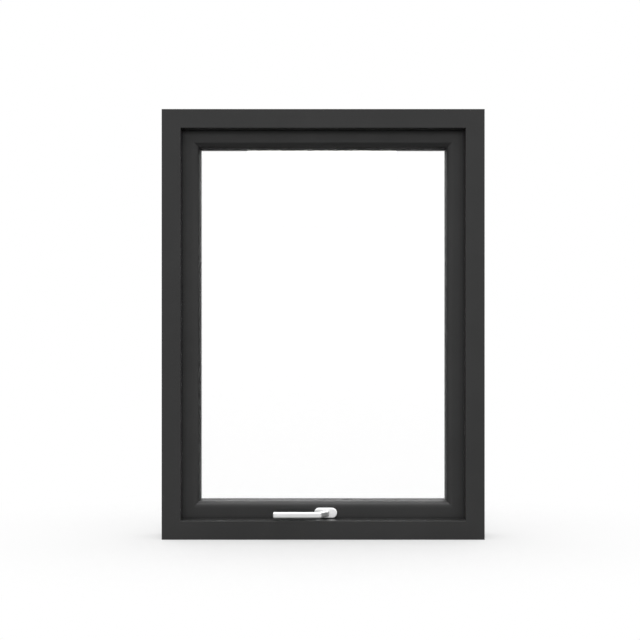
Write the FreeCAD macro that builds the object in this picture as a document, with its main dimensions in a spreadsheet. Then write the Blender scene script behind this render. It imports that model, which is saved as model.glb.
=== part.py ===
import FreeCAD, Part
import math
import os

import Sketcher
from FreeCAD import Placement, Rotation, Vector

# Top hung awning window, outward opening, painted timber with an aluminium outdoor skin.
# Millimetres. X runs along the width, +Y points outdoors, +Z up.
# The origin is the middle of the sill's underside, at half the frame's depth.

# Driving dimensions, each set once
DRIVING = {
    # Outer frame
    "overall_width": 900,
    "overall_height": 1200,
    "frame_depth": 115,
    "frame_face": 53,
    "frame_edge_radius": 2,
    "frame_body": 38,
    # Sash, overlapped by the frame's lip and flush with the frame outdoors
    "sash_depth": 70,
    "seal_gap": 4,
    "sash_play": 5,
    "sash_width": 58,
    "sash_timber_depth": 48.5,
    "moulding_radius": 19,
    "shoulder_depth": 22,
    "glazing_rebate": 17,
    # Insulating glass unit
    "room_gasket_depth": 3,
    "outdoor_gasket_depth": 3.5,
    "pane_thickness": 4,
    "pane_gap": 16,
    "glass_clearance": 4,
    "spacer_inset": 4,
    "spacer_width": 9,
    "gasket_cover": 11,
    "gasket_reveal": 0.5,
    "block_length": 100,
    "block_from_end": 150,
    # Weather gasket between the lip and the sash
    "weather_gasket_width": 8,
    "weather_gasket_inset": 1,
    # Aluminium outdoor skin
    "frame_skin_depth": 13.5,
    "skin_wall": 2,
    "skin_return": 4,
    "skin_joint": 0.3,
    "sash_skin_setback": 2,
    "skin_bevel_width": 15,
    "skin_bevel_depth": 13.5,
    # Drain slots in the sill's skin
    "drain_length": 26,
    "drain_width": 5,
    "drain_level": 11,
    "drain_from_end": 160,
    # Top hinges on the outdoor face
    "hinge_from_end": 170,
    "hinge_width": 70,
    "hinge_leaf_height": 26,
    "hinge_leaf_thickness": 2.5,
    "hinge_knuckle_radius": 4.5,
    "hinge_pin_radius": 2.5,
    "hinge_pin_head": 1.5,
    "hinge_running_gap": 0.3,
    # Frame fixing holes through the jambs
    "fixing_hole_diameter": 10,
    "fixing_hole_from_end": 200,
    # Turning handle on the bottom rail
    "handle_offset": 7,
    "handle_level": 68.25,
    "rosette_length": 65,
    "rosette_height": 28.5,
    "rosette_thickness": 10,
    "rosette_edge": 2.5,
    "collar_diameter": 22,
    "collar_length": 4,
    "collar_seat": 6,
    "collar_running_gap": 0.3,
    "lever_projection": 34,
    "lever_reach": 147,
    "lever_height": 16.5,
    "lever_thickness": 14,
    "lever_edge": 4.5,
    "lever_bend": 10,
    "neck_width": 20,
    "neck_straight": 4,
    "neck_slant": 24,
    "spindle_side": 7,
    "spindle_fit": 0.1,
    "spindle_in_neck": 10,
    "spindle_in_sash": 30,
    "spindle_bore_diameter": 12,
    "spindle_bore_spare": 3,
}

# Places worked out from the driving dimensions. Depths are measured from the frame's room
# face, and inward distances from the overall edge of the window.
PLACES = {
    "half_width": "sizes.overall_width / 2",
    "half_depth": "sizes.frame_depth / 2",
    "sash_recess": "sizes.frame_depth - sizes.sash_depth",
    "lip_depth": "sash_recess - sizes.seal_gap",
    "frame_timber_depth": "sizes.frame_depth - sizes.frame_skin_depth",
    "fixing_hole_depth": "(lip_depth + frame_timber_depth) / 2",
    "edge_start": "sizes.frame_face - sizes.frame_edge_radius",
    "frame_skin_edge": "sizes.frame_body + sizes.skin_wall",
    "frame_skin_back": "frame_timber_depth - sizes.skin_return",
    "skin_inside": "sizes.frame_depth - sizes.skin_wall",
    "sash_edge": "sizes.frame_body + sizes.sash_play",
    "sash_sight": "sash_edge + sizes.sash_width",
    "sash_back": "sash_recess + sizes.sash_timber_depth",
    "moulding_start": "sash_sight - sizes.moulding_radius",
    "moulding_end": "sash_recess + sizes.moulding_radius",
    "shoulder_place": "sash_recess + sizes.shoulder_depth",
    "rebate_floor": "sash_sight - sizes.glazing_rebate",
    "glass_edge": "rebate_floor + sizes.glass_clearance",
    "room_pane_place": "shoulder_place + sizes.room_gasket_depth",
    "spacer_place": "room_pane_place + sizes.pane_thickness",
    "outdoor_pane_place": "spacer_place + sizes.pane_gap",
    "outdoor_gasket_place": "outdoor_pane_place + sizes.pane_thickness",
    "bead_place": "outdoor_gasket_place + sizes.outdoor_gasket_depth",
    "unit_depth": "2 * sizes.pane_thickness + sizes.pane_gap",
    "spacer_outer": "glass_edge + sizes.spacer_inset",
    "spacer_inner": "spacer_outer + sizes.spacer_width",
    "gasket_inner": "sash_sight + sizes.gasket_reveal",
    "gasket_outer": "gasket_inner - sizes.gasket_cover",
    "weather_outer": "sash_edge + sizes.weather_gasket_inset",
    "weather_inner": "weather_outer + sizes.weather_gasket_width",
    "sash_skin_edge": "sash_edge + sizes.sash_skin_setback",
    "sash_skin_leg": "sash_skin_edge + sizes.skin_wall",
    "bevel_start": "sash_sight - sizes.skin_bevel_width",
    "bevel_start_inside": "bevel_start - sizes.skin_wall / 2",
    "bevel_end": "sizes.frame_depth - sizes.skin_bevel_depth",
    "bevel_end_inside": "bevel_end - sizes.skin_wall",
    "bead_leg": "sash_sight - sizes.skin_wall",
    "mitre_reach": "sash_sight + sizes.glazing_rebate",
    "width_less_mitre": "sizes.overall_width - mitre_reach",
    "height_less_mitre": "sizes.overall_height - mitre_reach",
    "skin_mitre_reach": "mitre_reach + sizes.skin_joint",
    "width_less_joint": "sizes.overall_width - sizes.skin_joint",
    "height_less_joint": "sizes.overall_height - sizes.skin_joint",
    "width_less_skin_mitre": "sizes.overall_width - skin_mitre_reach",
    "height_less_skin_mitre": "sizes.overall_height - skin_mitre_reach",
    "drain_radius": "sizes.drain_width / 2",
    "left_drain_start": "sizes.drain_from_end - (sizes.drain_length - sizes.drain_width) / 2",
    "left_drain_end": "sizes.drain_from_end + (sizes.drain_length - sizes.drain_width) / 2",
    "right_drain_start": "sizes.overall_width - left_drain_end",
    "right_drain_end": "sizes.overall_width - left_drain_start",
    "hinge_line": "(frame_skin_edge + sash_skin_edge) / 2",
    "handle_place": "half_width + sizes.handle_offset",
    "far_fixing_hole": "sizes.overall_height - sizes.fixing_hole_from_end",
    "spindle_bore_depth": "sash_recess + sizes.spindle_in_sash + sizes.spindle_bore_spare",
    "collar_back": "sizes.rosette_thickness - sizes.collar_seat",
    "collar_front": "sizes.rosette_thickness + sizes.collar_length",
    "collar_radius": "sizes.collar_diameter / 2",
    "collar_bore_diameter": "sizes.collar_diameter + 2 * sizes.collar_running_gap",
    "collar_bore_depth": "collar_back - sizes.collar_running_gap",
    "lever_centre": "sizes.rosette_thickness + sizes.lever_projection",
    "lever_front": "lever_centre + sizes.lever_thickness / 2",
    "lever_back": "lever_centre - sizes.lever_thickness / 2",
    "neck_inner": "sizes.neck_width / 2",
    "neck_outer": "-neck_inner",
    "slant_start": "collar_front + sizes.neck_straight",
    "elbow_outer": "neck_outer + sizes.neck_slant",
    "slant_share": "(lever_back - slant_start) / (lever_front - slant_start)",
    "elbow_inner": "neck_inner + sizes.neck_slant * slant_share",
    "spindle_inner_end": "sizes.rosette_thickness + sizes.spindle_in_neck",
    "spindle_hole_side": "sizes.spindle_side + 2 * sizes.spindle_fit",
    "spindle_hole_depth": "spindle_inner_end + sizes.spindle_fit",
    "rosette_end_radius": "sizes.rosette_height / 2",
    "rosette_end_centre": "(sizes.rosette_length - sizes.rosette_height) / 2",
}

# Edges that lie in a plane are found within this distance of it
NEAR = 0.01

# Every pocket takes away at least this many cubic millimetres
LEAST_CUT = 1

doc = FreeCAD.newDocument("awning_window")


def make_sheet(name, cells, formula=False):
    """One spreadsheet: names in column A, values with those names as aliases in column B."""
    sheet = doc.addObject("Spreadsheet::Sheet", name)
    for row, (alias, content) in enumerate(cells.items(), start=1):
        sheet.set(f"A{row}", alias)
        sheet.set(f"B{row}", f"={content}" if formula else str(content))
        sheet.setAlias(f"B{row}", alias)
    doc.recompute()
    return sheet


sizes = make_sheet("sizes", DRIVING)
places = make_sheet("places", PLACES, formula=True)


def value(name):
    """The number in a named cell of either sheet."""
    sheet = sizes if name in DRIVING else places
    return float(getattr(sheet, name))


def link(name):
    """The expression that names a cell of either sheet."""
    return f"sizes.{name}" if name in DRIVING else f"places.{name}"


def bind(target, **expressions):
    """Tie properties of an object to expressions."""
    for name, expression in expressions.items():
        target.setExpression(name, expression)


def place(target, x=None, y=None, z=None, turn=None):
    """Put a sub-part in the window's frame, with its base tied to expressions."""
    target.Placement = Placement(Vector(), turn or Rotation())
    for axis, expression in (("x", x), ("y", y), ("z", z)):
        if expression:
            target.setExpression(f".Placement.Base.{axis}", expression)


def new_body(label):
    body = doc.addObject("PartDesign::Body", label)
    body.Label = label
    return body


def new_sketch(body, name, role):
    """A sketch on one of the body's own origin planes."""
    sketch = body.newObject("Sketcher::SketchObject", name)
    origin_plane = next(item for item in body.Origin.OriginFeatures if item.Role == role)
    sketch.AttachmentSupport = [(origin_plane, "")]
    sketch.MapMode = "FlatFace"
    return sketch


def dimension(sketch, kind, geometry, point, cell):
    """Hold one coordinate of a point at a cell's value, or on the axis where cell is None."""
    if cell is None:
        axis = -2 if kind == "DistanceX" else -1
        sketch.addConstraint(Sketcher.Constraint("PointOnObject", geometry, point, axis))
        return
    index = sketch.addConstraint(
        Sketcher.Constraint(kind, -1, 1, geometry, point, value(cell))
    )
    sketch.setExpression(f"Constraints[{index}]", link(cell))


def arc_edge(start, end, radius, side):
    """A minor arc from start to end that bulges to the given side, +1 left and -1 right."""
    chord = end - start
    outward = Vector(-chord.y, chord.x, 0).normalize() * side
    rise = math.sqrt(max(radius ** 2 - (chord.Length / 2) ** 2, 0))
    crest = (start + end) / 2 + outward * (radius - rise)
    return Part.Arc(start, crest, end)


def add_outline(sketch, corners, arcs=None):
    """A closed outline through corners given as pairs of cells.

    arcs maps the number of an edge to its radius cell and the side to which it bulges.
    """
    arcs = arcs or {}
    points = [Vector(*(value(cell) if cell else 0 for cell in corner), 0) for corner in corners]
    edges = []
    for number, start in enumerate(points):
        end = points[(number + 1) % len(points)]
        if number in arcs:
            radius_cell, side = arcs[number]
            geometry = sketch.addGeometry(arc_edge(start, end, value(radius_cell), side), False)
            forward = (sketch.getPoint(geometry, 1) - start).Length < (
                sketch.getPoint(geometry, 2) - start
            ).Length
            edges.append((geometry, 1 if forward else 2, 2 if forward else 1))
        else:
            geometry = sketch.addGeometry(Part.LineSegment(start, end), False)
            edges.append((geometry, 1, 2))
    for number, (geometry, first, last) in enumerate(edges):
        following, following_first, _ = edges[(number + 1) % len(edges)]
        sketch.addConstraint(
            Sketcher.Constraint("Coincident", geometry, last, following, following_first)
        )
        across, up = corners[number]
        dimension(sketch, "DistanceX", geometry, first, across)
        dimension(sketch, "DistanceY", geometry, first, up)
        if number in arcs:
            radius_cell = arcs[number][0]
            index = sketch.addConstraint(
                Sketcher.Constraint("Radius", geometry, value(radius_cell))
            )
            sketch.setExpression(f"Constraints[{index}]", link(radius_cell))


def add_circle(sketch, across, up, diameter):
    """A circle at a pair of cells, with its diameter in a third."""
    centre = Vector(*(value(cell) if cell else 0 for cell in (across, up)), 0)
    circle = sketch.addGeometry(
        Part.Circle(centre, Vector(0, 0, 1), value(diameter) / 2), False
    )
    dimension(sketch, "DistanceX", circle, 3, across)
    dimension(sketch, "DistanceY", circle, 3, up)
    index = sketch.addConstraint(Sketcher.Constraint("Diameter", circle, value(diameter)))
    sketch.setExpression(f"Constraints[{index}]", link(diameter))


def add_centred_slot(sketch, end_centre, end_radius):
    """An obround about the origin, long along X."""
    reach, radius = value(end_centre), value(end_radius)
    normal = Vector(0, 0, 1)
    right = sketch.addGeometry(Part.ArcOfCircle(
        Part.Circle(Vector(reach, 0, 0), normal, radius), -math.pi / 2, math.pi / 2), False)
    left = sketch.addGeometry(Part.ArcOfCircle(
        Part.Circle(Vector(-reach, 0, 0), normal, radius), math.pi / 2, 3 * math.pi / 2), False)
    upper = sketch.addGeometry(
        Part.LineSegment(Vector(reach, radius, 0), Vector(-reach, radius, 0)), False)
    lower = sketch.addGeometry(
        Part.LineSegment(Vector(-reach, -radius, 0), Vector(reach, -radius, 0)), False)
    for first, first_point, second, second_point in (
        (right, 2, upper, 1), (upper, 2, left, 1), (left, 2, lower, 1), (lower, 2, right, 1),
    ):
        sketch.addConstraint(
            Sketcher.Constraint("Tangent", first, first_point, second, second_point))
    sketch.addConstraint(Sketcher.Constraint("Equal", right, left))
    sketch.addConstraint(Sketcher.Constraint("Symmetric", right, 3, left, 3, -1, 1))
    sketch.addConstraint(Sketcher.Constraint("PointOnObject", right, 3, -1))
    dimension(sketch, "DistanceX", right, 3, end_centre)
    index = sketch.addConstraint(Sketcher.Constraint("Radius", right, radius))
    sketch.setExpression(f"Constraints[{index}]", link(end_radius))


def add_slot(sketch, start, end, level, radius):
    """An obround along X whose end centres stand at two cells, on one level."""
    left, right, up, reach = (value(cell) for cell in (start, end, level, radius))
    normal = Vector(0, 0, 1)
    cap = sketch.addGeometry(Part.ArcOfCircle(
        Part.Circle(Vector(right, up, 0), normal, reach), -math.pi / 2, math.pi / 2), False)
    far_cap = sketch.addGeometry(Part.ArcOfCircle(
        Part.Circle(Vector(left, up, 0), normal, reach), math.pi / 2, 3 * math.pi / 2), False)
    upper = sketch.addGeometry(
        Part.LineSegment(Vector(right, up + reach, 0), Vector(left, up + reach, 0)), False)
    lower = sketch.addGeometry(
        Part.LineSegment(Vector(left, up - reach, 0), Vector(right, up - reach, 0)), False)
    for first, second in ((cap, upper), (upper, far_cap), (far_cap, lower), (lower, cap)):
        sketch.addConstraint(Sketcher.Constraint("Tangent", first, 2, second, 1))
    dimension(sketch, "DistanceX", cap, 3, end)
    dimension(sketch, "DistanceY", cap, 3, level)
    dimension(sketch, "DistanceX", far_cap, 3, start)
    dimension(sketch, "DistanceY", far_cap, 3, level)
    index = sketch.addConstraint(Sketcher.Constraint("Radius", cap, reach))
    sketch.setExpression(f"Constraints[{index}]", link(radius))


def add_centred_rectangle(sketch, width, height):
    """A rectangle about the origin."""
    across, up = value(width) / 2, value(height) / 2
    corners = [Vector(-across, -up, 0), Vector(across, -up, 0),
               Vector(across, up, 0), Vector(-across, up, 0)]
    lines = [
        sketch.addGeometry(Part.LineSegment(corners[number], corners[(number + 1) % 4]), False)
        for number in range(4)
    ]
    for number in range(4):
        sketch.addConstraint(Sketcher.Constraint(
            "Coincident", lines[number], 2, lines[(number + 1) % 4], 1))
        direction = "Horizontal" if number % 2 == 0 else "Vertical"
        sketch.addConstraint(Sketcher.Constraint(direction, lines[number]))
    sketch.addConstraint(Sketcher.Constraint("Symmetric", lines[0], 1, lines[2], 1, -1, 1))
    for kind, line, cell in (("DistanceX", lines[0], width), ("DistanceY", lines[1], height)):
        index = sketch.addConstraint(
            Sketcher.Constraint(kind, line, 1, line, 2, value(cell)))
        sketch.setExpression(f"Constraints[{index}]", link(cell))


def pocket(body, name, sketch, depth=None):
    """A pocket towards +Y or +Z, through the whole body where no depth is given."""
    before = body.Shape.Volume
    cut = body.newObject("PartDesign::Pocket", name)
    cut.Profile = sketch
    if depth:
        bind(cut, Length=link(depth))
    else:
        cut.Type = "ThroughAll"
        cut.SideType = "Symmetric"
    doc.recompute()
    if cut.Shape.Volume > before - LEAST_CUT:
        raise RuntimeError(f"{name} cuts nothing")


# The four sides of a ring: the turn about Y, the corner where the side starts and the
# direction of its length
SIDES = {
    "bottom": (0, "-places.half_width", None, "width"),
    "top": (180, "places.half_width", "sizes.overall_height", "width"),
    "left": (90, "-places.half_width", "sizes.overall_height", "height"),
    "right": (-90, "places.half_width", None, "height"),
}


def mitre_corners(along, open_joint):
    """Outlines of what the mitres cut off at the near and the far end of a side.

    An open joint leaves a hairline between the two bars at each corner.
    """
    length = f"overall_{along}"
    if not open_joint:
        far = f"{along}_less_mitre"
        return (
            [(None, None), (None, "mitre_reach"), ("mitre_reach", "mitre_reach")],
            [(length, None), (length, "mitre_reach"), (far, "mitre_reach")],
        )
    near, far = "skin_mitre_reach", f"{along}_less_skin_mitre"
    return (
        [(None, None), (None, "mitre_reach"), (near, "mitre_reach"), ("skin_joint", None)],
        [(length, None), (length, "mitre_reach"), (far, "mitre_reach"),
         (f"{along}_less_joint", None)],
    )


def mitred_bar(label, side, corners, arcs=None, open_joint=False):
    """One side of a ring: a section swept along the side, cut at 45 degrees at both ends.

    The section's first coordinate is depth from the room face, its second is the inward
    distance from the window's overall edge.
    """
    turn, start_x, start_z, along = SIDES[side]
    body = new_body(label)
    section = new_sketch(body, f"{label}_section", "YZ_Plane")
    add_outline(section, corners, arcs)
    bar = body.newObject("PartDesign::Pad", f"{label}_bar")
    bar.Profile = section
    bind(bar, Length=f"sizes.overall_{along}")
    mitres = new_sketch(body, f"{label}_mitres", "XZ_Plane")
    for cut_off in mitre_corners(along, open_joint):
        add_outline(mitres, cut_off)
    doc.recompute()
    pocket(body, f"{label}_mitre_cut", mitres)
    place(body, start_x, "-places.half_depth", start_z, Rotation(Vector(0, 1, 0), turn))
    return body


def side_label(side, horizontal, upright):
    """top_rail or left_stile, by the side of the ring."""
    return f"{side}_{horizontal if side in ('top', 'bottom') else upright}"


# Timber frame: a deep body with a lip towards the room that overlaps the sash
def frame_bar(side):
    label = {
        "top": "frame_head",
        "bottom": "frame_sill",
        "left": "frame_jamb_left",
        "right": "frame_jamb_right",
    }[side]
    corners = [
        (None, None),
        (None, "edge_start"),
        ("frame_edge_radius", "frame_face"),
        ("lip_depth", "frame_face"),
        ("lip_depth", "frame_body"),
        ("frame_timber_depth", "frame_body"),
        ("frame_timber_depth", None),
    ]
    return mitred_bar(label, side, corners, {1: ("frame_edge_radius", 1)})


# Aluminium skin of the frame: a channel outside the timber, with a return into the rebate
def frame_skin(side):
    label = {
        "top": "head_cladding",
        "bottom": "sill_cladding",
        "left": "jamb_cladding_left",
        "right": "jamb_cladding_right",
    }[side]
    corners = [
        ("frame_timber_depth", None),
        ("frame_timber_depth", "skin_wall"),
        ("skin_inside", "skin_wall"),
        ("skin_inside", "frame_body"),
        ("frame_skin_back", "frame_body"),
        ("frame_skin_back", "frame_skin_edge"),
        ("frame_depth", "frame_skin_edge"),
        ("frame_depth", None),
    ]
    return mitred_bar(label, side, corners, open_joint=True)


# Timber sash: flat face, rounded moulding towards the glass and a glazing rebate behind it
def sash_bar(side):
    corners = [
        ("sash_recess", "sash_edge"),
        ("sash_recess", "moulding_start"),
        ("moulding_end", "sash_sight"),
        ("shoulder_place", "sash_sight"),
        ("shoulder_place", "rebate_floor"),
        ("sash_back", "rebate_floor"),
        ("sash_back", "sash_edge"),
    ]
    label = f"sash_{side_label(side, 'rail', 'stile')}"
    return mitred_bar(label, side, corners, {1: ("moulding_radius", 1)})


# Aluminium skin of the sash: it holds the glass from outdoors and falls away to it
def sash_skin(side):
    corners = [
        ("sash_back", "sash_skin_edge"),
        ("sash_back", "sash_skin_leg"),
        ("skin_inside", "sash_skin_leg"),
        ("skin_inside", "bevel_start_inside"),
        ("bevel_end_inside", "bead_leg"),
        ("bead_place", "bead_leg"),
        ("bead_place", "sash_sight"),
        ("bevel_end", "sash_sight"),
        ("frame_depth", "bevel_start"),
        ("frame_depth", "sash_skin_edge"),
    ]
    mitred_bar(f"sash_cladding_{side}", side, corners, open_joint=True)


# Holes through the jambs for the screws that fix the frame in its wall
def drill_fixing_holes(jamb):
    holes = new_sketch(jamb, f"{jamb.Label}_fixing_holes", "XY_Plane")
    for along in ("fixing_hole_from_end", "far_fixing_hole"):
        add_circle(holes, along, "fixing_hole_depth", "fixing_hole_diameter")
    pocket(jamb, f"{jamb.Label}_fixing_cut", holes)


# Round bore in the bottom rail for the handle's spindle
def drill_spindle_bore(rail):
    mouth = new_sketch(rail, "spindle_bore_mouth", "XZ_Plane")
    add_circle(mouth, "handle_place", "handle_level", "spindle_bore_diameter")
    pocket(rail, "spindle_bore", mouth, "spindle_bore_depth")


# Slots low in the sill's skin that let water out from behind it
def punch_drain_slots(skin):
    slots = new_sketch(skin, "drain_slots", "XZ_Plane")
    for hand in ("left", "right"):
        add_slot(slots, f"{hand}_drain_start", f"{hand}_drain_end", "drain_level",
                 "drain_radius")
    pocket(skin, "drain_slot_cut", slots)


for ring_side in SIDES:
    frame_member = frame_bar(ring_side)
    if ring_side in ("left", "right"):
        drill_fixing_holes(frame_member)
    skin_member = frame_skin(ring_side)
    sash_member = sash_bar(ring_side)
    if ring_side == "bottom":
        punch_drain_slots(skin_member)
        drill_spindle_bore(sash_member)
    sash_skin(ring_side)


def inset_box(name, inset, depth_place, thickness):
    """A slab that fills the window at an inset from its overall edge."""
    slab = doc.addObject("Part::Box", name)
    bind(
        slab,
        Length=f"sizes.overall_width - 2 * {link(inset)}",
        Width=link(thickness),
        Height=f"sizes.overall_height - 2 * {link(inset)}",
    )
    place(
        slab,
        f"{link(inset)} - places.half_width",
        f"{link(depth_place)} - places.half_depth",
        link(inset),
    )
    return slab


def flat_ring(label, outer, inner, depth_place, thickness):
    """A ring of rectangular section, cut from one slab by a smaller one."""
    ring = doc.addObject("Part::Cut", label)
    ring.Base = inset_box(f"{label}_blank", outer, depth_place, thickness)
    ring.Tool = inset_box(f"{label}_window", inner, depth_place, thickness)
    ring.Label = label
    return ring


# Insulating glass unit: two panes with a spacer between them
inset_box("glass_room_pane", "glass_edge", "room_pane_place", "pane_thickness")
inset_box("glass_outdoor_pane", "glass_edge", "outdoor_pane_place", "pane_thickness")
flat_ring("glass_spacer", "spacer_outer", "spacer_inner", "spacer_place", "pane_gap")

# Gaskets: two that bed the glass and one that seals the sash against the frame's lip
flat_ring("glazing_gasket_room", "gasket_outer", "gasket_inner", "shoulder_place",
          "room_gasket_depth")
flat_ring("glazing_gasket_outdoor", "gasket_outer", "gasket_inner", "outdoor_gasket_place",
          "outdoor_gasket_depth")
flat_ring("weather_gasket", "weather_outer", "weather_inner", "lip_depth", "seal_gap")


# Setting blocks under the glass unit, one towards each bottom corner
def setting_blocks():
    blocks = []
    for name, centre in (
        ("setting_block_left", "sizes.block_from_end - places.half_width"),
        ("setting_block_right", "places.half_width - sizes.block_from_end"),
    ):
        block = doc.addObject("Part::Box", name)
        bind(
            block,
            Length="sizes.block_length",
            Width="places.unit_depth",
            Height="sizes.glass_clearance",
        )
        place(
            block,
            f"{centre} - sizes.block_length / 2",
            "places.room_pane_place - places.half_depth",
            "places.rebate_floor",
        )
        blocks.append(block)
    pair = doc.addObject("Part::Compound", "glass_setting_blocks")
    pair.Links = blocks


setting_blocks()


# Butt hinges at the head, on the outdoor face, with five knuckles on one pin
KNUCKLES = 5


def hinge_box(name, start_x, y, z, length, width, height):
    block = doc.addObject("Part::Box", name)
    bind(block, Length=length, Width=width, Height=height)
    place(block, start_x, y, z)
    return block


def hinge_rod(name, start_x, length, radius):
    """A cylinder along X about the pin's axis."""
    rod = doc.addObject("Part::Cylinder", name)
    bind(rod, Radius=radius, Height=length)
    place(rod, start_x, turn=Rotation(Vector(0, 1, 0), 90))
    return rod


def hinge_leaf(label, above, centre_x):
    """One leaf: a plate, and knuckles on every other fifth of its width.

    above is true for the frame's leaf, which has the outer and middle knuckles.
    """
    step = f"sizes.hinge_width / {KNUCKLES}"
    radius = "sizes.hinge_knuckle_radius"
    clear = f"({radius} + sizes.hinge_running_gap)"
    leaf_back = f"-{radius}"
    plate_base = clear if above else f"-{clear} - sizes.hinge_leaf_height"
    neck_base = None if above else f"-{clear}"
    pieces = [
        hinge_box(f"{label}_plate", "-sizes.hinge_width / 2", leaf_back, plate_base,
                  "sizes.hinge_width", "sizes.hinge_leaf_thickness", "sizes.hinge_leaf_height")
    ]
    for knuckle in range(0 if above else 1, KNUCKLES, 2):
        start = f"-sizes.hinge_width / 2 + {knuckle} * {step} + sizes.hinge_running_gap / 2"
        length = f"{step} - sizes.hinge_running_gap"
        pieces.append(hinge_rod(f"{label}_knuckle_{knuckle}", start, length, radius))
        pieces.append(
            hinge_box(f"{label}_neck_{knuckle}", start, leaf_back, neck_base, length,
                      "sizes.hinge_leaf_thickness", clear)
        )
    solid = doc.addObject("Part::MultiFuse", f"{label}_solid")
    solid.Shapes = pieces
    solid.Refine = True
    bore = hinge_rod(f"{label}_bore", "-sizes.hinge_width / 2", "sizes.hinge_width",
                     "sizes.hinge_pin_radius")
    leaf = doc.addObject("Part::Cut", label)
    leaf.Base = solid
    leaf.Tool = bore
    leaf.Label = label
    place_hinge(leaf, centre_x)


def place_hinge(target, centre_x):
    place(
        target,
        centre_x,
        "places.half_depth + sizes.hinge_knuckle_radius",
        "sizes.overall_height - places.hinge_line",
    )


def hinge_pin(label, centre_x):
    """The pin with a flat head at each end."""
    shank = hinge_rod(f"{label}_shank", "-sizes.hinge_width / 2", "sizes.hinge_width",
                      "sizes.hinge_pin_radius")
    heads = [
        hinge_rod(f"{label}_head_left", "-sizes.hinge_width / 2 - sizes.hinge_pin_head",
                  "sizes.hinge_pin_head", "sizes.hinge_knuckle_radius"),
        hinge_rod(f"{label}_head_right", "sizes.hinge_width / 2",
                  "sizes.hinge_pin_head", "sizes.hinge_knuckle_radius"),
    ]
    pin = doc.addObject("Part::MultiFuse", label)
    pin.Shapes = [shank, *heads]
    pin.Label = label
    place_hinge(pin, centre_x)


for hinge_side, hinge_centre in (
    ("left", "sizes.hinge_from_end - places.half_width"),
    ("right", "places.half_width - sizes.hinge_from_end"),
):
    hinge_leaf(f"hinge_frame_leaf_{hinge_side}", True, hinge_centre)
    hinge_leaf(f"hinge_sash_leaf_{hinge_side}", False, hinge_centre)
    hinge_pin(f"hinge_pin_{hinge_side}", hinge_centre)


# Handle. Its pieces share one frame: the spindle's axis at the sash's room face, with +X
# towards the lever's tip and +Y towards the room.
def place_on_spindle(target):
    place(
        target,
        "sizes.handle_offset",
        "places.sash_recess - places.half_depth",
        "sizes.handle_level",
        Rotation(Vector(0, 0, 1), 180),
    )


def edges_where(feature, wanted):
    """Names of the feature's edges whose bounding box passes the test."""
    return [
        f"Edge{number}"
        for number, edge in enumerate(feature.Shape.Edges, start=1)
        if wanted(edge.BoundBox)
    ]


def handle_rosette():
    """Obround plate with a recess for the lever's collar and a hole for the spindle."""
    body = new_body("handle_rosette")
    outline = new_sketch(body, "rosette_outline", "XZ_Plane")
    add_centred_slot(outline, "rosette_end_centre", "rosette_end_radius")
    plate = body.newObject("PartDesign::Pad", "rosette_plate")
    plate.Profile = outline
    plate.Reversed = True
    bind(plate, Length="sizes.rosette_thickness")
    doc.recompute()
    front = value("rosette_thickness")
    rim = edges_where(plate, lambda box: min(box.YMin, box.YMax) > front - NEAR)
    rounding = body.newObject("PartDesign::Fillet", "rosette_rounding")
    rounding.Base = (plate, rim)
    bind(rounding, Radius="sizes.rosette_edge")
    doc.recompute()
    hole = new_sketch(body, "rosette_spindle_hole", "XZ_Plane")
    add_circle(hole, None, None, "spindle_bore_diameter")
    pocket(body, "rosette_spindle_cut", hole)
    recess = new_sketch(body, "rosette_collar_recess", "XZ_Plane")
    recess.setExpression(".AttachmentOffset.Base.z", "-places.collar_bore_depth")
    add_circle(recess, None, None, "collar_bore_diameter")
    pocket(body, "rosette_collar_cut", recess, "rosette_thickness")
    place_on_spindle(body)


def handle_lever():
    """Collar, slanted neck and lever: a plan outline made thick, with all edges rounded."""
    body = new_body("handle_lever")
    plan = new_sketch(body, "lever_plan", "XY_Plane")
    add_outline(plan, [
        ("neck_outer", "collar_front"),
        ("neck_outer", "slant_start"),
        ("elbow_outer", "lever_front"),
        ("lever_reach", "lever_front"),
        ("lever_reach", "lever_back"),
        ("elbow_inner", "lever_back"),
        ("neck_inner", "slant_start"),
        ("neck_inner", "collar_front"),
    ])
    bar = body.newObject("PartDesign::Pad", "lever_bar")
    bar.Profile = plan
    bar.SideType = "Symmetric"
    bind(bar, Length="sizes.lever_height")
    doc.recompute()
    bends = body.newObject("PartDesign::Fillet", "lever_bends")
    bends.Base = (bar, edges_where(bar, lambda box: (
        box.ZLength > NEAR
        and box.YMin > value("collar_front") + NEAR
        and box.XMax < value("lever_reach") - NEAR
    )))
    bind(bends, Radius="sizes.lever_bend")
    doc.recompute()
    rounding = body.newObject("PartDesign::Fillet", "lever_rounding")
    rounding.Base = (bends, edges_where(bends, lambda box: (
        box.YMax > value("collar_front") + NEAR
        and (box.ZLength < NEAR or box.XMin > value("lever_reach") - NEAR)
    )))
    bind(rounding, Radius="sizes.lever_edge")
    doc.recompute()
    collar_outline = new_sketch(body, "collar_outline", "XY_Plane")
    add_outline(collar_outline, [
        (None, "collar_back"),
        ("collar_radius", "collar_back"),
        ("collar_radius", "collar_front"),
        (None, "collar_front"),
    ])
    collar = body.newObject("PartDesign::Revolution", "lever_collar")
    collar.Profile = collar_outline
    collar.ReferenceAxis = (collar_outline, ["V_Axis"])
    collar.Angle = 360
    doc.recompute()
    socket = new_sketch(body, "spindle_socket", "XZ_Plane")
    add_centred_rectangle(socket, "spindle_hole_side", "spindle_hole_side")
    pocket(body, "spindle_socket_cut", socket, "spindle_hole_depth")
    place_on_spindle(body)


def handle_spindle():
    """Square bar that carries the lever's turn into the bottom rail."""
    body = new_body("handle_spindle")
    section = new_sketch(body, "spindle_section", "XZ_Plane")
    add_centred_rectangle(section, "spindle_side", "spindle_side")
    bar = body.newObject("PartDesign::Pad", "spindle_bar")
    bar.Profile = section
    bar.SideType = "Two sides"
    bind(bar, Length="sizes.spindle_in_sash", Length2="places.spindle_inner_end")
    place_on_spindle(body)


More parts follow.
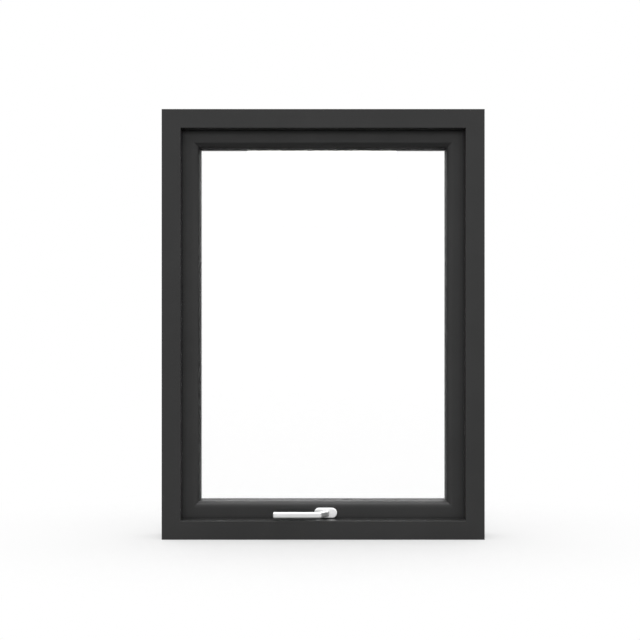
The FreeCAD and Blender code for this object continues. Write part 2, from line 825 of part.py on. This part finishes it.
handle_rosette()
handle_lever()
handle_spindle()


# Every sub-part of the window
NODES = [
    "frame_head", "frame_sill", "frame_jamb_left", "frame_jamb_right",
    "head_cladding", "sill_cladding", "jamb_cladding_left", "jamb_cladding_right",
    "sash_top_rail", "sash_bottom_rail", "sash_left_stile", "sash_right_stile",
    "sash_cladding_top", "sash_cladding_bottom", "sash_cladding_left", "sash_cladding_right",
    "glass_room_pane", "glass_outdoor_pane", "glass_spacer", "glass_setting_blocks",
    "glazing_gasket_room", "glazing_gasket_outdoor", "weather_gasket",
    "hinge_frame_leaf_left", "hinge_frame_leaf_right",
    "hinge_sash_leaf_left", "hinge_sash_leaf_right",
    "hinge_pin_left", "hinge_pin_right",
    "handle_rosette", "handle_lever", "handle_spindle",
]

doc.recompute()
for item in doc.Objects:
    if "Invalid" in item.State or "Error" in item.State:
        raise RuntimeError(f"{item.Label} failed to build: {item.State}")
sub_parts = [doc.getObjectsByLabel(label)[0] for label in NODES]
for item in sub_parts:
    if item.Shape.isNull() or not item.Shape.isValid():
        raise RuntimeError(f"{item.Label} has no valid shape")
os.makedirs("parts", exist_ok=True)
for item in sub_parts:
    item.Shape.exportStep(f"parts/{item.Label}.step")
    print(f"{item.Label}: {len(item.Shape.Solids)} solid, {item.Shape.Volume / 1000:.1f} cm3")
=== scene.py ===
import math

import bmesh
import bpy
from mathutils import Matrix, Vector


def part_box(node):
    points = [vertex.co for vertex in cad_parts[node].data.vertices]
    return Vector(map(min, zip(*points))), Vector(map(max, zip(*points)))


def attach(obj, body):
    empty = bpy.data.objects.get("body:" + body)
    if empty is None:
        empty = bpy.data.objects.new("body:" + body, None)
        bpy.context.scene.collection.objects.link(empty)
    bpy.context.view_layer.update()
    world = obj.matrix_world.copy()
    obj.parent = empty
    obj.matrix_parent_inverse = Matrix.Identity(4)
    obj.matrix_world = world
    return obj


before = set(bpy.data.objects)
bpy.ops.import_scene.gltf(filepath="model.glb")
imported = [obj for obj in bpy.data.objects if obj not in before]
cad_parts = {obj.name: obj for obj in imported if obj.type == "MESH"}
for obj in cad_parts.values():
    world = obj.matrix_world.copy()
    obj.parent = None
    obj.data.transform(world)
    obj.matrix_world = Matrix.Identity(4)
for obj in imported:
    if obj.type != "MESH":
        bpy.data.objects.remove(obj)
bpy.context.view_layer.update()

# Sizes in metres, in the window's own frame: +Y is outdoors, +Z is up
ROOM_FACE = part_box("frame_jamb_left")[0].y

# Screws of the hinge leaves
SCREW_RADIUS = 0.0042
SCREW_RISE = 0.0012
SCREW_ROUNDING = 0.0006
SCREW_SIDES = 24
SCREW_SPACING = 0.024
LEAF_THICKNESS = 0.0025
LEAF_HEIGHT = 0.026

# How far the middle screw of a leaf is turned, in radians, and the next one more than that
SCREW_TURN = 0.5
SCREW_TURN_STEP = 0.8

# The recess in a screw head, and how far it reaches at the four corners of each of its six lobes
DRIVE_RADIUS = 0.0021
DRIVE_DEPTH = 0.001
DRIVE_LOBES = (1.0, 0.86, 0.72, 0.86)

# Where the photograph was taken from, as a distance from the frame's room face
CAMERA_SIDE = -0.0088
CAMERA_HEIGHT = 0.580
CAMERA_DISTANCE = 3.1
VIEW_CENTRE_HEIGHT = 0.6123
VIEW_WIDTH_AT_FACE = 1.783
SENSOR_WIDTH_MM = 36

# Floor
FLOOR_TONE = 0.38
FLOOR_HALF_WIDTH = 2.7
FLOOR_HALF_DEPTH = 2.4
FLOOR_CENTRE = 0.2

# The zone round the window where the floor keeps its shadow, by its reach to a side and in
# depth. In its first share the camera sees this much plain white mixed in, and at its edge
# nothing but white
SHADOW_ZONE_WIDTH = 1.4
SHADOW_ZONE_DEPTH = 0.85
SHADOW_FADE_FROM = 0.1
FLOOR_WHITENING = 0.34

# How much of the floor bounced rays miss at its middle. From a share of its half size on they
# miss more, up to all of it at the edge, so that the glass mirrors no edge of the floor
FLOOR_BOUNCE_LOSS = 0.6
FLOOR_ENDS_FROM = 0.25

# Lamp
FRONT_LAMP_PLACE = Vector((0, -2.8, 1.45))
FRONT_LAMP_AIM = Vector((0, 0, 0.6))
FRONT_LAMP_WIDTH = 0.8
FRONT_LAMP_HEIGHT = 0.6
FRONT_LAMP_POWER = 35

# How bright the surround is, by how far a direction rises: towards the room, then outdoors
ROOM_SURROUND = (
    (-1.00, 0.03),
    (-0.40, 0.04),
    (-0.24, 0.20),
    (-0.15, 0.90),
    (0.00, 1.15),
    (0.18, 1.15),
    (0.36, 0.60),
    (0.55, 1.50),
    (0.80, 2.60),
    (1.00, 4.60),
)
OUTDOOR_SURROUND = (
    (-1.00, 0.02),
    (-0.30, 0.02),
    (-0.10, 0.02),
    (0.00, 0.05),
    (0.14, 0.60),
    (0.30, 2.00),
    (0.60, 1.95),
    (0.85, 2.60),
    (1.00, 4.60),
)
SURROUND_BRIGHTEST = 4.6

# How far a direction leans towards the room or outdoors where only that side's levels count
SIDE_BLEND = 0.4


# Node helpers

def new_material(name):
    """A node material with its Principled shader, ready to be wired."""
    material = bpy.data.materials.new(name)
    material.use_nodes = True
    nodes = material.node_tree.nodes
    shader = nodes["Principled BSDF"]
    return material, nodes, material.node_tree.links, shader


def add_node(nodes, kind, **settings):
    node = nodes.new(kind)
    for name, setting in settings.items():
        setattr(node, name, setting)
    return node


def object_pattern(nodes, links, stretch=(1, 1, 1), shift=(0, 0, 0)):
    """Object coordinates through a Mapping node that stretches the pattern, then shifts it."""
    coordinates = nodes.new("ShaderNodeTexCoord")
    mapping = nodes.new("ShaderNodeMapping")
    mapping.inputs["Scale"].default_value = stretch
    mapping.inputs["Location"].default_value = shift
    links.new(coordinates.outputs["Object"], mapping.inputs["Vector"])
    return mapping.outputs["Vector"]


def noise(nodes, links, vector, scale, detail=2.0, roughness=0.5):
    texture = nodes.new("ShaderNodeTexNoise")
    texture.inputs["Scale"].default_value = scale
    texture.inputs["Detail"].default_value = detail
    texture.inputs["Roughness"].default_value = roughness
    links.new(vector, texture.inputs["Vector"])
    return texture.outputs["Fac"]


def ramp(nodes, links, factor, low, high, low_at=0.3, high_at=0.7):
    """A two-stop colour ramp; low and high are grey levels or colours."""
    node = nodes.new("ShaderNodeValToRGB")
    for element, level, position in zip(node.color_ramp.elements, (low, high), (low_at, high_at)):
        element.color = (*level, 1) if isinstance(level, tuple) else (level, level, level, 1)
        element.position = position
    links.new(factor, node.inputs["Fac"])
    return node.outputs["Color"]


def bump(nodes, links, height, depth, under=None):
    """Relief of a pattern, depth metres deep, on top of another relief if one is given."""
    node = nodes.new("ShaderNodeBump")
    node.inputs["Distance"].default_value = depth
    node.inputs["Strength"].default_value = 1.0
    links.new(height, node.inputs["Height"])
    if under is not None:
        links.new(under, node.inputs["Normal"])
    return node.outputs["Normal"]


def calculate(nodes, links, operation, first, second):
    """A Math node, each of whose two terms is a socket or a plain number."""
    node = add_node(nodes, "ShaderNodeMath", operation=operation)
    for socket, term in zip(node.inputs, (first, second)):
        if isinstance(term, bpy.types.NodeSocket):
            links.new(term, socket)
        else:
            socket.default_value = term
    return node.outputs[0]


def smooth_rise(nodes, links, factor, start, end=1.0, low=0.0):
    """Rises smoothly from low, where the factor is start, to 1, where it is end."""
    node = add_node(nodes, "ShaderNodeMapRange", interpolation_type="SMOOTHSTEP")
    node.inputs["From Min"].default_value = start
    node.inputs["From Max"].default_value = end
    node.inputs["To Min"].default_value = low
    links.new(factor, node.inputs["Value"])
    return node.outputs["Result"]


def mix_shaders(nodes, links, factor, first, second):
    node = nodes.new("ShaderNodeMixShader")
    links.new(factor, node.inputs["Fac"])
    links.new(first, node.inputs[1])
    links.new(second, node.inputs[2])
    return node.outputs[0]


def seen_directly(nodes, links):
    """1 for camera rays, also where they came through glass, and 0 after any other bounce."""
    path = nodes.new("ShaderNodeLightPath").outputs
    through = calculate(nodes, links, "MAXIMUM", path["Is Camera Ray"], path["Is Transmission Ray"])
    bounces = calculate(nodes, links, "ADD", path["Glossy Depth"], path["Diffuse Depth"])
    straight = calculate(nodes, links, "LESS_THAN", bounces, 1.0)
    return calculate(nodes, links, "MULTIPLY", through, straight)


# Materials

def painted_timber(name, stretch):
    """Sprayed satin paint on planed timber; stretch draws the faint grain out along the piece."""
    material, nodes, links, shader = new_material(name)
    plain = object_pattern(nodes, links)
    along = object_pattern(nodes, links, stretch)
    cloud = noise(nodes, links, plain, scale=6.0, detail=3.0)
    links.new(ramp(nodes, links, cloud, low=0.0140, high=0.0170), shader.inputs["Base Color"])
    sheen = noise(nodes, links, plain, scale=35.0, detail=4.0)
    links.new(ramp(nodes, links, sheen, low=0.30, high=0.36), shader.inputs["Roughness"])
    grain = noise(nodes, links, along, scale=420.0, detail=3.0, roughness=0.6)
    grain_relief = bump(nodes, links, grain, depth=0.000008)
    spray = noise(nodes, links, plain, scale=700.0, detail=1.0)
    relief = bump(nodes, links, spray, depth=0.00001, under=grain_relief)
    links.new(relief, shader.inputs["Normal"])
    shader.inputs["Specular IOR Level"].default_value = 0.3
    return material


def powder_coat():
    """Fine textured powder coat on the aluminium outdoors."""
    material, nodes, links, shader = new_material("grey_powder_coat")
    plain = object_pattern(nodes, links)
    cloud = noise(nodes, links, plain, scale=9.0)
    tone = ramp(nodes, links, cloud, low=(0.030, 0.030, 0.031), high=(0.034, 0.034, 0.035))
    links.new(tone, shader.inputs["Base Color"])
    speckle = noise(nodes, links, plain, scale=1400.0)
    links.new(ramp(nodes, links, speckle, low=0.42, high=0.58), shader.inputs["Roughness"])
    links.new(bump(nodes, links, speckle, depth=0.00005), shader.inputs["Normal"])
    shader.inputs["Specular IOR Level"].default_value = 0.5
    return material


def clear_glass():
    """Clear glass that lets the lamp's light through, with a faint uneven film on it."""
    material, nodes, links, shader = new_material("clear_glass")
    shader.inputs["Base Color"].default_value = (1, 1, 1, 1)
    shader.inputs["Transmission Weight"].default_value = 1.0
    shader.inputs["IOR"].default_value = 1.45
    film = noise(nodes, links, object_pattern(nodes, links), scale=3.0)
    links.new(ramp(nodes, links, film, low=0.0, high=0.012), shader.inputs["Roughness"])
    path = nodes.new("ShaderNodeLightPath")
    open_to_lamps = nodes.new("ShaderNodeBsdfTransparent")
    surface = mix_shaders(nodes, links, path.outputs["Is Shadow Ray"], shader.outputs[0],
                          open_to_lamps.outputs[0])
    links.new(surface, nodes["Material Output"].inputs["Surface"])
    return material


def spacer_metal():
    """Dark warm-edge spacer bar with its fine pressed ridges."""
    material, nodes, links, shader = new_material("dark_spacer")
    plain = object_pattern(nodes, links)
    tone = noise(nodes, links, plain, scale=60.0)
    links.new(ramp(nodes, links, tone, low=0.030, high=0.045), shader.inputs["Base Color"])
    ridges = noise(nodes, links, plain, scale=900.0, detail=1.0)
    links.new(bump(nodes, links, ridges, depth=0.00002), shader.inputs["Normal"])
    shader.inputs["Roughness"].default_value = 0.65
    return material


def black_rubber():
    """Matt rubber of the gaskets and setting blocks."""
    material, nodes, links, shader = new_material("black_rubber")
    plain = object_pattern(nodes, links)
    tone = noise(nodes, links, plain, scale=80.0, detail=3.0)
    links.new(ramp(nodes, links, tone, low=0.008, high=0.014), shader.inputs["Base Color"])
    skin = noise(nodes, links, plain, scale=1200.0)
    links.new(bump(nodes, links, skin, depth=0.00004), shader.inputs["Normal"])
    shader.inputs["Roughness"].default_value = 0.7
    return material


def satin_metal(name, tones, roughness, brush):
    """Satin metal with fine brushing drawn out along one direction."""
    material, nodes, links, shader = new_material(name)
    tone = noise(nodes, links, object_pattern(nodes, links), scale=40.0)
    links.new(ramp(nodes, links, tone, *tones), shader.inputs["Base Color"])
    lines = noise(nodes, links, object_pattern(nodes, links, brush), scale=900.0)
    links.new(ramp(nodes, links, lines, *roughness), shader.inputs["Roughness"])
    links.new(bump(nodes, links, lines, depth=0.00001), shader.inputs["Normal"])
    shader.inputs["Metallic"].default_value = 1.0
    return material


GRAIN_ALONG_X = (0.03, 1, 1)
GRAIN_ALONG_Z = (1, 1, 0.03)
rail_paint = painted_timber("grey_paint_rails", GRAIN_ALONG_X)
stile_paint = painted_timber("grey_paint_stiles", GRAIN_ALONG_Z)
cladding_coat = powder_coat()
glass = clear_glass()
spacer_bar = spacer_metal()
rubber = black_rubber()
lever_metal = satin_metal("lever_satin", (0.79, 0.83), (0.36, 0.44), GRAIN_ALONG_X)
# The rosette's satin metal is set lighter than the lever's. This is painted light: it stands in for
# the overhead light that whitens the rosette's face.
rosette_painted_light_metal = satin_metal("rosette_satin_painted_light", (0.95, 0.98), (0.40, 0.48), GRAIN_ALONG_X)
hinge_metal = satin_metal("hinge_steel", (0.50, 0.56), (0.28, 0.40), GRAIN_ALONG_X)
screw_metal = satin_metal("screw_steel", (0.17, 0.22), (0.30, 0.40), GRAIN_ALONG_X)

FINISHES = {
    "frame_head": rail_paint,
    "frame_sill": rail_paint,
    "frame_jamb_left": stile_paint,
    "frame_jamb_right": stile_paint,
    "sash_top_rail": rail_paint,
    "sash_bottom_rail": rail_paint,
    "sash_left_stile": stile_paint,
    "sash_right_stile": stile_paint,
    "glass_room_pane": glass,
    "glass_outdoor_pane": glass,
    "glass_spacer": spacer_bar,
    "glass_setting_blocks": rubber,
    "glazing_gasket_room": rubber,
    "glazing_gasket_outdoor": rubber,
    "weather_gasket": rubber,
    "handle_rosette": rosette_painted_light_metal,
    "handle_lever": lever_metal,
    "handle_spindle": hinge_metal,
}


def finish_of(node):
    if "cladding" in node:
        return cladding_coat
    if node.startswith("hinge"):
        return hinge_metal
    return FINISHES[node]


for node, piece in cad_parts.items():
    piece.data.materials.clear()
    piece.data.materials.append(finish_of(node))


# Screws that hold the hinge leaves, three to a leaf

def screw_head():
    """A low round head with a six-lobe recess, standing on the XY plane."""
    shape = bmesh.new()
    bmesh.ops.create_circle(shape, cap_ends=True, segments=SCREW_SIDES, radius=SCREW_RADIUS)
    raised = bmesh.ops.extrude_face_region(shape, geom=shape.faces[:])
    top = next(item for item in raised["geom"] if isinstance(item, bmesh.types.BMFace))
    bmesh.ops.translate(shape, vec=(0, 0, SCREW_RISE), verts=top.verts)
    bmesh.ops.bevel(shape, geom=top.edges[:], offset=SCREW_ROUNDING, segments=3,
                    profile=0.5, affect="EDGES", material=-1)
    shape.faces.ensure_lookup_table()
    top = max(shape.faces, key=lambda face: (face.calc_center_median().z, face.calc_area()))
    bmesh.ops.inset_region(shape, faces=[top],
                           thickness=SCREW_RADIUS - SCREW_ROUNDING - DRIVE_RADIUS)
    for number, corner in enumerate(top.verts):
        corner.co.xy *= DRIVE_LOBES[number % len(DRIVE_LOBES)]
    sunk = bmesh.ops.extrude_face_region(shape, geom=[top])
    corners = [item for item in sunk["geom"] if isinstance(item, bmesh.types.BMVert)]
    bmesh.ops.translate(shape, vec=(0, 0, -DRIVE_DEPTH), verts=corners)
    # The extrusion leaves the old face over the recess
    bmesh.ops.delete(shape, geom=[top], context="FACES_ONLY")
    bmesh.ops.recalc_face_normals(shape, faces=shape.faces)
    mesh = bpy.data.meshes.new("screw_head")
    shape.to_mesh(mesh)
    shape.free()
    return mesh


def hinge_screws(leaf, row_height, head):
    """Three heads on one leaf, each turned a little differently."""
    low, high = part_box(leaf)
    shape = bmesh.new()
    for number in (-1, 0, 1):
        before = len(shape.verts)
        shape.from_mesh(head)
        placed = shape.verts[before:]
        turn = Matrix.Rotation(SCREW_TURN + SCREW_TURN_STEP * number, 3, "Z")
        bmesh.ops.rotate(shape, matrix=turn, verts=placed)
        bmesh.ops.rotate(shape, matrix=Matrix.Rotation(-math.pi / 2, 3, "X"), verts=placed)
        place = Vector((
            (low.x + high.x) / 2 + number * SCREW_SPACING,
            low.y + LEAF_THICKNESS,
            row_height,
        ))
        bmesh.ops.translate(shape, vec=place, verts=placed)
    mesh = bpy.data.meshes.new(f"{leaf}_screws")
    shape.to_mesh(mesh)
    shape.free()
    mesh.materials.append(screw_metal)
    screws = bpy.data.objects.new(f"{leaf}_screws", mesh)
    bpy.context.scene.collection.objects.link(screws)
    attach(screws, "window")


head_mesh = screw_head()
for side in ("left", "right"):
    frame_leaf = f"hinge_frame_leaf_{side}"
    sash_leaf = f"hinge_sash_leaf_{side}"
    hinge_screws(frame_leaf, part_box(frame_leaf)[1].z - LEAF_HEIGHT / 2, head_mesh)
    hinge_screws(sash_leaf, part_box(sash_leaf)[0].z + LEAF_HEIGHT / 2, head_mesh)
bpy.data.meshes.remove(head_mesh)


# Studio: a pale floor that keeps the soft shadow near the window, and a white surround that
# is brightest overhead

def surround_ramp(nodes, links, height, levels):
    """The levels as a ramp over height, which runs from 0, straight down, to 1, straight up."""
    node = nodes.new("ShaderNodeValToRGB")
    while len(node.color_ramp.elements) < len(levels):
        node.color_ramp.elements.new(0.5)
    for element, (rise, level) in zip(node.color_ramp.elements, levels):
        element.position = (rise + 1) / 2
        element.color = (*[level / SURROUND_BRIGHTEST] * 3, 1)
    links.new(height, node.inputs["Fac"])
    return node.outputs["Color"]


def studio_world():
    """Lights by the surround's levels, and looks plain white to the camera."""
    world = bpy.data.worlds.new("studio")
    world.use_nodes = True
    bpy.context.scene.world = world
    nodes, links = world.node_tree.nodes, world.node_tree.links
    coordinates = nodes.new("ShaderNodeTexCoord")
    split = nodes.new("ShaderNodeSeparateXYZ")
    links.new(coordinates.outputs["Generated"], split.inputs[0])
    height = nodes.new("ShaderNodeMapRange")
    height.inputs["From Min"].default_value = -1.0
    links.new(split.outputs["Z"], height.inputs["Value"])
    outdoors = smooth_rise(nodes, links, split.outputs["Y"], start=-SIDE_BLEND, end=SIDE_BLEND)
    blend = add_node(nodes, "ShaderNodeMix", data_type="RGBA")
    links.new(outdoors, blend.inputs["Factor"])
    room_side = surround_ramp(nodes, links, height.outputs["Result"], ROOM_SURROUND)
    far_side = surround_ramp(nodes, links, height.outputs["Result"], OUTDOOR_SURROUND)
    links.new(room_side, blend.inputs["A"])
    links.new(far_side, blend.inputs["B"])
    lighting = nodes["Background"]
    lighting.inputs["Strength"].default_value = SURROUND_BRIGHTEST
    links.new(blend.outputs["Result"], lighting.inputs["Color"])
    shown = nodes.new("ShaderNodeBackground")
    shown.inputs["Color"].default_value = (1, 1, 1, 1)
    shown.inputs["Strength"].default_value = 1.0
    surround = mix_shaders(nodes, links, seen_directly(nodes, links), lighting.outputs[0],
                           shown.outputs[0])
    links.new(surround, nodes["World Output"].inputs["Surface"])


def floor_rise(nodes, links, half_width, half_depth, centre, start, low):
    """Rises smoothly from low, near a place on the floor, to 1 at an ellipse round it."""
    place = object_pattern(nodes, links, (1 / half_width, 1 / half_depth, 1),
                           (0, -centre / half_depth, 0))
    reach = add_node(nodes, "ShaderNodeVectorMath", operation="LENGTH")
    links.new(place, reach.inputs[0])
    return smooth_rise(nodes, links, reach.outputs["Value"], start, low=low)


def floor_white():
    """Matt white that turns to plain white away from the shadow, and fades for bounced rays."""
    material, nodes, links, shader = new_material("floor_white")
    shader.inputs["Base Color"].default_value = (FLOOR_TONE, FLOOR_TONE, FLOOR_TONE, 1)
    shader.inputs["Roughness"].default_value = 1.0
    shader.inputs["Specular IOR Level"].default_value = 0.0
    glow = nodes.new("ShaderNodeEmission")
    glow.inputs["Color"].default_value = (1, 1, 1, 1)
    open_edge = nodes.new("ShaderNodeBsdfTransparent")
    direct = seen_directly(nodes, links)
    whitening = floor_rise(nodes, links, SHADOW_ZONE_WIDTH, SHADOW_ZONE_DEPTH, 0,
                           SHADOW_FADE_FROM, FLOOR_WHITENING)
    shown = calculate(nodes, links, "MULTIPLY", whitening, direct)
    lit = mix_shaders(nodes, links, shown, shader.outputs[0], glow.outputs[0])
    loss = floor_rise(nodes, links, FLOOR_HALF_WIDTH, FLOOR_HALF_DEPTH, FLOOR_CENTRE,
                      FLOOR_ENDS_FROM, FLOOR_BOUNCE_LOSS)
    bounced = calculate(nodes, links, "SUBTRACT", 1.0, direct)
    away = calculate(nodes, links, "MULTIPLY", loss, bounced)
    surface = mix_shaders(nodes, links, away, lit, open_edge.outputs[0])
    links.new(surface, nodes["Material Output"].inputs["Surface"])
    return material


def studio_floor():
    mesh = bpy.data.meshes.new("floor")
    shape = bmesh.new()
    bmesh.ops.create_grid(shape, x_segments=1, y_segments=1, size=1)
    bmesh.ops.scale(shape, vec=(FLOOR_HALF_WIDTH, FLOOR_HALF_DEPTH, 1), verts=shape.verts)
    bmesh.ops.translate(shape, vec=(0, FLOOR_CENTRE, 0), verts=shape.verts)
    shape.to_mesh(mesh)
    shape.free()
    mesh.materials.append(floor_white())
    floor = bpy.data.objects.new("floor", mesh)
    bpy.context.scene.collection.objects.link(floor)


def front_lamp():
    """A broad lamp high up in front of the window's room side, which reflections don't show."""
    lamp = bpy.data.lights.new("front_lamp", "AREA")
    lamp.shape = "RECTANGLE"
    lamp.size = FRONT_LAMP_WIDTH
    lamp.size_y = FRONT_LAMP_HEIGHT
    lamp.energy = FRONT_LAMP_POWER
    holder = bpy.data.objects.new("front_lamp", lamp)
    holder.location = FRONT_LAMP_PLACE
    aim = FRONT_LAMP_AIM - FRONT_LAMP_PLACE
    holder.rotation_euler = aim.to_track_quat("-Z", "Y").to_euler()
    holder.visible_glossy = False
    bpy.context.scene.collection.objects.link(holder)


studio_world()
studio_floor()
front_lamp()


# Camera, square to the window

camera_data = bpy.data.cameras.new("camera")
camera_data.sensor_width = SENSOR_WIDTH_MM
camera_data.angle = 2 * math.atan(VIEW_WIDTH_AT_FACE / 2 / CAMERA_DISTANCE)
camera_data.shift_y = (VIEW_CENTRE_HEIGHT - CAMERA_HEIGHT) / VIEW_WIDTH_AT_FACE
camera = bpy.data.objects.new("camera", camera_data)
camera.location = (CAMERA_SIDE, ROOM_FACE - CAMERA_DISTANCE, CAMERA_HEIGHT)
camera.rotation_euler = (math.pi / 2, 0, 0)
bpy.context.scene.collection.objects.link(camera)
bpy.context.scene.camera = camera

bpy.context.scene.view_settings.view_transform = "Standard"
